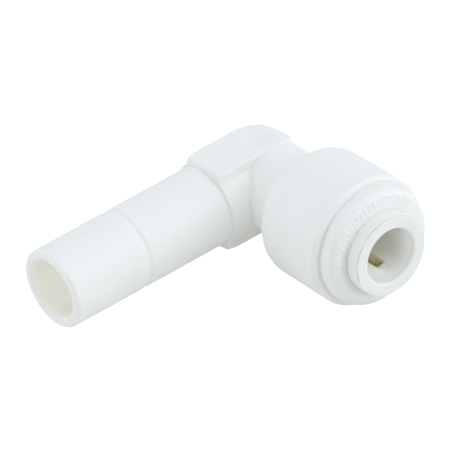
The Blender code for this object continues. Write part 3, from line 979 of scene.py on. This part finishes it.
def stamped_steel(finish):
    """Stamped stainless strip, with the fine streaks that rolling leaves."""
    material, place = start_material("stamped steel")
    streaks = place.noise(0.5, 4.0, stretch=(1.0, 12.0, 1.0))
    return dress(material, {
        "Base Color": streaks.steps(0.3, 0.7).mix(finish.steel, finish.steel_shade),
        "Roughness": streaks.steps(0.25, 0.75, 0.24, 0.4),
        "Metallic": 1.0,
        "Normal": streaks.bump(0.1, 0.01 * MM),
    })


def matt_paper(name, tint, glow):
    """Matt pale paper, that can glow to stay as pale in the shade."""
    material, place = start_material(name)
    return dress(material, {
        "Base Color": place.noise(40.0).steps(0.3, 0.7).mix(tint, [0.99 * part for part in tint]),
        "Roughness": 0.9,
        "Specular IOR Level": 0.1,
        "Emission Color": (1.0, 1.0, 1.0, 1.0),
        "Emission Strength": glow,
    })


# Pieces

class STEM_ELBOW_OT_moulding(bpy.types.Operator):
    """Build the one-piece moulding: stem, elbow block and socket, with its pin marks"""

    bl_idname = "stem_elbow.moulding"
    bl_label = "Moulding"

    def execute(self, context):
        settings = context.scene.stem_elbow
        stem, elbow, socket = settings.stem, settings.elbow, settings.socket
        material = moulded_plastic(
            "moulding plastic",
            settings.finish,
            # Painted light: the bores are painted in the lighter, warmer lining colour
            inside=lambda place: moulding_inside(place, stem, socket),
            # Painted shade in the corner at the step, in the crease and on the socket's front edge
            grime=lambda place: moulding_painted_shade(place, elbow),
        )
        mesh = loop_mesh("elbow_moulding", elbow_rings(stem, elbow, socket))
        mesh = combined(mesh, "DIFFERENCE", pin_marks(elbow))
        add_piece("elbow_moulding", mesh, material, "housing", ["elbow_body"])
        return {"FINISHED"}


def around(angle):
    """The outward and sideways directions at an angle round the socket's axis."""
    outward = SIDE * math.cos(angle) + UP * math.sin(angle)
    return outward, UP * math.cos(angle) - SIDE * math.sin(angle)


def face_level(cap, radius):
    """How far the cap's face, a very flat cone, lies from the crossing at a radius."""
    inward = (FLANGE_RADIUS - radius) / (FLANGE_RADIUS - cap.hole_radius)
    return CAP_FACE - cap.face_fall + cap.face_rise * inward


def cap_ticks(cap):
    """Two rows of plain ticks, to be joined to the cap's face."""
    shell = bmesh.new()
    for degrees in TICK_DEGREES:
        outward, sideways = around(math.radians(degrees))
        outlines = []
        for level, shrink in ((-0.1 * MM, -0.04 * MM), (cap.tick_height, 0.05 * MM)):
            long, wide = cap.tick_length / 2 - shrink, cap.tick_width / 2 - shrink
            corner = wide * 0.6
            outline = (
                (long, wide - corner), (long - corner, wide), (corner - long, wide),
                (-long, wide - corner), (-long, corner - wide), (corner - long, -wide),
                (long - corner, -wide), (long, corner - wide),
            )
            outlines.append([
                outward * (cap.tick_radius + x) + sideways * y
                + ALONG_SOCKET * (face_level(cap, cap.tick_radius + x) + level)
                for x, y in outline
            ])
        prism(shell, *outlines)
    return shell_mesh("cap_ticks", shell)


class STEM_ELBOW_OT_cap(bpy.types.Operator):
    """Build the end cap and the plain ticks moulded on its face"""

    bl_idname = "stem_elbow.cap"
    bl_label = "End cap"

    def execute(self, context):
        cap, finish = context.scene.stem_elbow.cap, context.scene.stem_elbow.finish
        material = moulded_plastic(
            "cap plastic",
            finish,
            inside=lambda place: socket_inside(place, cap.hole_radius, cap.flange_back - 0.3 * MM),
            # Dust in the seam and round the hole, and painted shade low on the left of the face
            grime=lambda place: cap_dust_and_shade(place, cap),
            # Painted warm light: the cap's inside is painted in the warm light colour
            lit_lining=finish.grease,
            reach=finish.grease_reach,
        )
        chamfer_radius = FLANGE_RADIUS - cap.flange_chamfer
        land_radius = FLANGE_RADIUS - cap.land_depth
        profile = rounded([
            (cap.hole_radius, face_level(cap, cap.hole_radius), cap.hole_edge),
            (chamfer_radius, face_level(cap, chamfer_radius), cap.chamfer_round),
            (FLANGE_RADIUS, face_level(cap, chamfer_radius) - cap.flange_chamfer, cap.chamfer_round),
            (FLANGE_RADIUS, cap.flange_back + cap.land_length + cap.land_depth, 0.02 * MM),
            (land_radius, cap.flange_back + cap.land_length, 0.02 * MM),
            (land_radius, cap.flange_back + cap.land_flare, 0.05 * MM),
            (land_radius + cap.land_flare, cap.flange_back, 0.02 * MM),
            (cap.skirt_radius, cap.flange_back, 0.05 * MM),
            (cap.skirt_radius, CAP_END, 0.15 * MM),
            (cap.skirt_inner, CAP_END, 0.1 * MM),
            (cap.skirt_inner, cap.cam_start, 0.3 * MM),
            (cap.hole_radius, cap.cam_end, 0.3 * MM),
        ])
        mesh = loop_mesh("cap_ring", turned(profile, even_angles(AROUND_RING)))
        mesh = combined(mesh, "UNION", cap_ticks(cap))
        add_piece("cap_ring", mesh, material, "housing", ["end_cap"])
        return {"FINISHED"}


def laid_round(angle, outline, radius):
    """An outline of widths and distances, laid at a radius that can vary with the distance."""
    outward, sideways = around(angle)
    return [outward * radius(t) + sideways * x + ALONG_SOCKET * t for x, t in outline]


def collet_slits(collet):
    """Cutters for the open slits, and for their shallow, sloping tips."""
    slits, tips = bmesh.new(), bmesh.new()
    half = collet.slit_width / 2
    low = COLLET_END - 1.0 * MM
    top, tip = COLLET_FACE - collet.slit_from_face, COLLET_FACE - collet.tip_from_face
    overlap = 0.1 * MM
    slit_outline = [(half, low), (half, top), (-half, top), (-half, low)]
    tip_outline = [(half, top - overlap)]
    for step in range(ARC_STEPS + 1):
        angle = math.pi * step / ARC_STEPS
        tip_outline.append((half * math.cos(angle), tip - half + half * math.sin(angle)))
    tip_outline.append((-half, top - overlap))

    def inside(_):
        return collet.bore_radius * 0.6

    def outside(_):
        return collet.barb_radius + 1.0 * MM

    def floor(t):
        return collet.bore_radius + collet.tip_depth + collet.tip_fall * (tip - t) / (tip - top)

    for index in range(FINGERS):
        angle = collet.slit_angle + index * 2 * math.pi / FINGERS
        prism(slits, *(laid_round(angle, slit_outline, radius) for radius in (inside, outside)))
        prism(tips, *(laid_round(angle, tip_outline, radius) for radius in (inside, floor)))
    return slits, tips


def tooth_prism(shell, collet, index, outline, half_thickness):
    """A plate with an outline, in the plane of a finger's tooth, added to a bmesh."""
    outward, sideways = around(collet.slit_angle + (index + 0.5) * 2 * math.pi / FINGERS)
    lean = outward * math.cos(collet.tooth_tilt) + ALONG_SOCKET * math.sin(collet.tooth_tilt)
    origin = outward * collet.bore_radius + ALONG_SOCKET * (COLLET_END + collet.tooth_from_end)
    face = sideways.cross(lean)
    prism(shell, *(
        [origin + sideways * x + lean * y + face * side for x, y in outline]
        for side in (-half_thickness, half_thickness)
    ))


def tooth_pockets(collet, shell):
    """Cutters for the pockets that hold the teeth, added to a bmesh."""
    half = collet.tooth_width / 2 + collet.pocket_clearance
    top = collet.tooth_depth - collet.tooth_bite + collet.pocket_clearance
    bottom = -collet.bore_radius / 2
    thick = collet.tooth_thickness / 2 + collet.pocket_clearance
    outline = [(half, bottom), (half, top), (-half, top), (-half, bottom)]
    for index in range(FINGERS):
        tooth_prism(shell, collet, index, outline, thick)


class STEM_ELBOW_OT_collet(bpy.types.Operator):
    """Build the release collet, with its slit fingers and the pockets for the teeth"""

    bl_idname = "stem_elbow.collet"
    bl_label = "Collet"

    def execute(self, context):
        collet, finish = context.scene.stem_elbow.collet, context.scene.stem_elbow.finish
        material = moulded_plastic(
            "collet plastic",
            finish,
            inside=lambda place: collet_lit_inside(place, collet),
            # Painted warm light on the sides and tips of the slits
            grease=lambda place: collet_painted_warm_light(place, collet),
            # Dust on the face's edge, and a painted shadow low on the left at the foot
            grime=lambda place: collet_dust_and_shade(place, collet),
            skin=finish.collet,
            # Painted light: the collet's bore is painted in its lighter lining colour
            lit_lining=finish.collet_lit_inside,
        )
        head_end = COLLET_FACE - collet.head_length
        barb_start = COLLET_END + collet.finger_lead
        wedge_start = barb_start + collet.barb_land
        wedge_end = wedge_start + collet.barb_front
        wedge_radius = collet.barb_radius - collet.barb_front * math.tan(BARB_SLOPE)
        profile = rounded([
            (collet.head_radius, COLLET_FACE, collet.head_edge),
            (collet.head_radius, head_end, 0.1 * MM),
            (collet.waist_radius, head_end - (collet.head_radius - collet.waist_radius), 0.3 * MM),
            (collet.waist_radius, wedge_end, 0.15 * MM),
            (wedge_radius, wedge_end, 0.1 * MM),
            (collet.barb_radius, wedge_start, 0.15 * MM),
            (collet.barb_radius, barb_start, 0.15 * MM),
            (collet.barb_radius - collet.finger_lead / 2, COLLET_END, 0.1 * MM),
            (collet.bore_radius, COLLET_END, 0.15 * MM),
            (collet.bore_radius, COLLET_FACE, collet.lip_round),
        ])
        mesh = loop_mesh("release_collet", turned(profile, even_angles(AROUND_RING)))
        slits, tips = collet_slits(collet)
        tooth_pockets(collet, slits)
        mesh = combined(mesh, "DIFFERENCE", shell_mesh("slits", slits), shell_mesh("tips", tips))
        add_piece("release_collet", mesh, material, "release", ["collet"], FINE_SHARP)
        return {"FINISHED"}


class STEM_ELBOW_OT_teeth(bpy.types.Operator):
    """Build the stamped grip teeth in the collet's fingers"""

    bl_idname = "stem_elbow.teeth"
    bl_label = "Grip teeth"

    def execute(self, context):
        settings = context.scene.stem_elbow
        collet = settings.collet
        material = stamped_steel(settings.finish)
        half, top = collet.tooth_width / 2, collet.tooth_depth - collet.tooth_bite
        edge = collet.bore_radius - collet.tooth_bite
        spread = math.asin(half / edge)
        outline = []
        for step in range(EDGE_STEPS + 1):
            angle = math.pi / 2 - spread + 2 * spread * step / EDGE_STEPS
            outline.append((edge * math.cos(angle), edge * math.sin(angle) - collet.bore_radius))
        outline += [(-half, top), (half, top)]
        for index in range(FINGERS):
            shell = bmesh.new()
            tooth_prism(shell, collet, index, outline, collet.tooth_thickness / 2)
            bmesh.ops.recalc_face_normals(shell, faces=shell.faces)
            rims = [rim for rim in shell.edges if rim.calc_face_angle() > RIM_ANGLE]
            bmesh.ops.bevel(
                shell, geom=rims, offset=TOOTH_EDGE, segments=2, profile=0.5, affect="EDGES"
            )
            name, node = f"grip_plate_{index + 1}", f"grip_tooth_{index + 1}"
            mesh = shell_mesh(name, shell)
            add_piece(name, mesh, material, "release", [node], FINE_SHARP)
        return {"FINISHED"}


class STEM_ELBOW_OT_seal(bpy.types.Operator):
    """Build the seal and the washer that backs it"""

    bl_idname = "stem_elbow.seal"
    bl_label = "Seal and washer"

    def execute(self, context):
        settings = context.scene.stem_elbow
        profile = []
        for angle in even_angles(AROUND_SECTION):
            bulge = FLASH * math.exp(-(math.sin(angle) / FLASH_ANGLE) ** 2)
            radius = SEAL_SECTION / 2 + bulge - FLASH
            profile.append((
                SEAL_RADIUS + radius * math.cos(angle), SEAL_MIDDLE + radius * math.sin(angle)
            ))
        mesh = loop_mesh("seal_ring", turned(profile, even_angles(AROUND_SEAL)))
        rubber = seal_rubber(settings.finish)
        add_piece("seal_ring", mesh, rubber, "housing", ["o_ring"])
        inner = settings.collet.washer_inner
        profile = rounded([
            (WASHER_RADIUS, WASHER_FRONT, 0.12 * MM),
            (WASHER_RADIUS, WASHER_BACK, 0.12 * MM),
            (inner, WASHER_BACK, 0.12 * MM),
            (inner, WASHER_FRONT, 0.2 * MM),
        ])
        mesh = loop_mesh("backing_washer", turned(profile, even_angles(AROUND_SEAL)))
        plastic = moulded_plastic(
            "washer plastic",
            settings.finish,
            # Painted light: the washer's inside is painted in the lighter lining colour
            inside=lambda place: socket_inside(place, inner, WASHER_FRONT + 1.0 * MM),
        )
        add_piece("backing_washer", mesh, plastic, "backing", ["spacer_ring"])
        return {"FINISHED"}


def add_planes(scene, stage):
    """The floor that the camera sees, and the table that only throws light up at the object."""
    half = stage.floor_size / 2
    corners = [(-half, -half, 0.0), (half, -half, 0.0), (half, half, 0.0), (-half, half, 0.0)]
    floor = matt_paper("pale floor", stage.floor, stage.floor_glow)
    table = matt_paper("white table", stage.table, 0.0)
    for name, material, seen in (("floor", floor, True), ("table", table, False)):
        mesh = bpy.data.meshes.new(name)
        mesh.from_pydata(corners, [], [(0, 1, 2, 3)])
        mesh.materials.append(material)
        plane = bpy.data.objects.new(name, mesh)
        scene.collection.objects.link(plane)
        plane.visible_camera = seen
        plane.visible_diffuse = plane.visible_glossy = not seen
        plane.visible_transmission = plane.visible_shadow = not seen


def looking_from(azimuth, elevation):
    """The direction from the object towards a place round it and above the floor."""
    flat = math.cos(elevation)
    return Vector((math.sin(azimuth) * flat, -math.cos(azimuth) * flat, math.sin(elevation)))


def soft_surround(scene, stage):
    """Faint even light all round, with a soft panel on each side."""
    world = bpy.data.worlds.new("soft surround")
    world.use_nodes = True
    tree = world.node_tree
    direction = Field(tree, add_node(tree, "ShaderNodeTexCoord").outputs["Generated"])
    light = stage.fill
    for strength, azimuth, elevation, spread in (
        (stage.left, stage.left_azimuth, stage.left_elevation, stage.left_spread),
        (stage.right, stage.right_azimuth, stage.right_elevation, stage.right_spread),
    ):
        values = {0: direction, 1: looking_from(azimuth, elevation)}
        made = add_node(tree, "ShaderNodeVectorMath", values, operation="DOT_PRODUCT")
        away = (Field(tree, made.outputs["Value"]) - 1.0).maths("DIVIDE", spread)
        light = away.maths("EXPONENT") * strength + light
    set_inputs(tree, tree.nodes["Background"], {"Color": (*stage.light, 1.0), "Strength": light})
    scene.world = world


def add_lamp(scene, stage, name, target, radius, power, towards):
    """A narrow lamp that shines into an opening, with a beam of a radius there."""
    lamp = bpy.data.lights.new(name, "SPOT")
    lamp.energy = power
    lamp.color = stage.light
    lamp.shadow_soft_size = LAMP_SIZE
    lamp.spot_size = 2 * math.atan(radius / stage.lamp_distance)
    lamp.spot_blend = LAMP_BLEND
    holder = bpy.data.objects.new(name, lamp)
    holder.location = CROSSING + target + towards * stage.lamp_distance
    holder.rotation_euler = towards.to_track_quat("Z", "Y").to_euler()
    scene.collection.objects.link(holder)


def add_camera(scene, stage):
    """The camera, turned so that the crossing falls on its place in the picture."""
    back = looking_from(stage.azimuth, stage.elevation)
    right = Vector((math.cos(stage.azimuth), math.sin(stage.azimuth), 0.0))
    above = back.cross(right)
    cosine, sine = math.cos(stage.roll), math.sin(stage.roll)
    right, above = right * cosine + above * sine, above * cosine - right * sine
    middle = PHOTO_PIXELS / 2
    aim = right * (middle - stage.crossing_x) - above * (middle - stage.crossing_y)
    aim *= MM / stage.scale
    place = CROSSING + back * stage.distance
    back = (back * stage.distance - aim).normalized()
    right = (right - back * right.dot(back)).normalized()
    above = back.cross(right)
    lens = bpy.data.cameras.new("camera")
    lens.sensor_width = SENSOR
    lens.lens = SENSOR * stage.scale * stage.distance / MM / PHOTO_PIXELS
    lens.clip_start, lens.clip_end = CLIP_RANGE
    camera = bpy.data.objects.new("camera", lens)
    turned_by = Matrix((right, above, back)).transposed().to_4x4()
    camera.matrix_world = Matrix.Translation(place) @ turned_by
    scene.collection.objects.link(camera)
    scene.camera = camera


class STEM_ELBOW_OT_stage(bpy.types.Operator):
    """Set the floor, the soft light and the camera"""

    bl_idname = "stem_elbow.stage"
    bl_label = "Stage"

    def execute(self, context):
        scene = context.scene
        settings = scene.stem_elbow
        stage = settings.stage
        add_planes(scene, stage)
        soft_surround(scene, stage)
        add_lamp(
            scene, stage, "bore lamp", ALONG_SOCKET * (COLLET_FACE - BORE_AIM),
            settings.collet.bore_radius * BORE_BEAM, stage.bore_power,
            looking_from(stage.bore_azimuth, stage.bore_elevation),
        )
        add_lamp(
            scene, stage, "mouth lamp", ALONG_STEM * STEM_REACH,
            settings.stem.bore * MOUTH_BEAM, stage.mouth_power,
            looking_from(stage.mouth_azimuth, stage.mouth_elevation),
        )
        add_camera(scene, stage)
        scene.view_settings.view_transform = "Standard"
        scene.cycles.max_bounces = scene.cycles.diffuse_bounces = LIGHT_BOUNCES
        return {"FINISHED"}


class STEM_ELBOW_PT_panel(bpy.types.Panel):
    """Sizes, finishes and steps of the stem elbow"""

    bl_idname = "STEM_ELBOW_PT_panel"
    bl_label = "Stem elbow"
    bl_space_type = "VIEW_3D"
    bl_region_type = "UI"
    bl_category = "Stem elbow"

    def draw(self, context):
        settings = context.scene.stem_elbow
        for operator in OPERATORS:
            self.layout.operator(operator.bl_idname)
        for name in settings.__annotations__:
            group = getattr(settings, name)
            box = self.layout.box()
            box.label(text=settings.bl_rna.properties[name].name)
            for prop in group.__annotations__:
                box.prop(group, prop)


OPERATORS = (
    STEM_ELBOW_OT_stage,
    STEM_ELBOW_OT_moulding,
    STEM_ELBOW_OT_cap,
    STEM_ELBOW_OT_collet,
    STEM_ELBOW_OT_teeth,
    STEM_ELBOW_OT_seal,
)
GROUPS = (
    StemSizes,
    ElbowSizes,
    SocketSizes,
    CapSizes,
    ColletSizes,
    Finishes,
    StageSettings,
    StemElbowSettings,
)


def register():
    """Add the classes and the settings to Blender."""
    for cls in (*GROUPS, *OPERATORS, STEM_ELBOW_PT_panel):
        bpy.utils.register_class(cls)
    bpy.types.Scene.stem_elbow = PointerProperty(
        type=StemElbowSettings, name="Stem elbow", description="Settings of the stem elbow"
    )


def unregister():
    """Take the settings and the classes out again."""
    del bpy.types.Scene.stem_elbow
    for cls in reversed((*GROUPS, *OPERATORS, STEM_ELBOW_PT_panel)):
        bpy.utils.unregister_class(cls)


def main():
    """Build everything in order."""
    register()
    bpy.ops.stem_elbow.stage()
    bpy.ops.stem_elbow.moulding()
    bpy.ops.stem_elbow.cap()
    bpy.ops.stem_elbow.collet()
    bpy.ops.stem_elbow.teeth()
    bpy.ops.stem_elbow.seal()


if __name__ == "__main__":
    main()
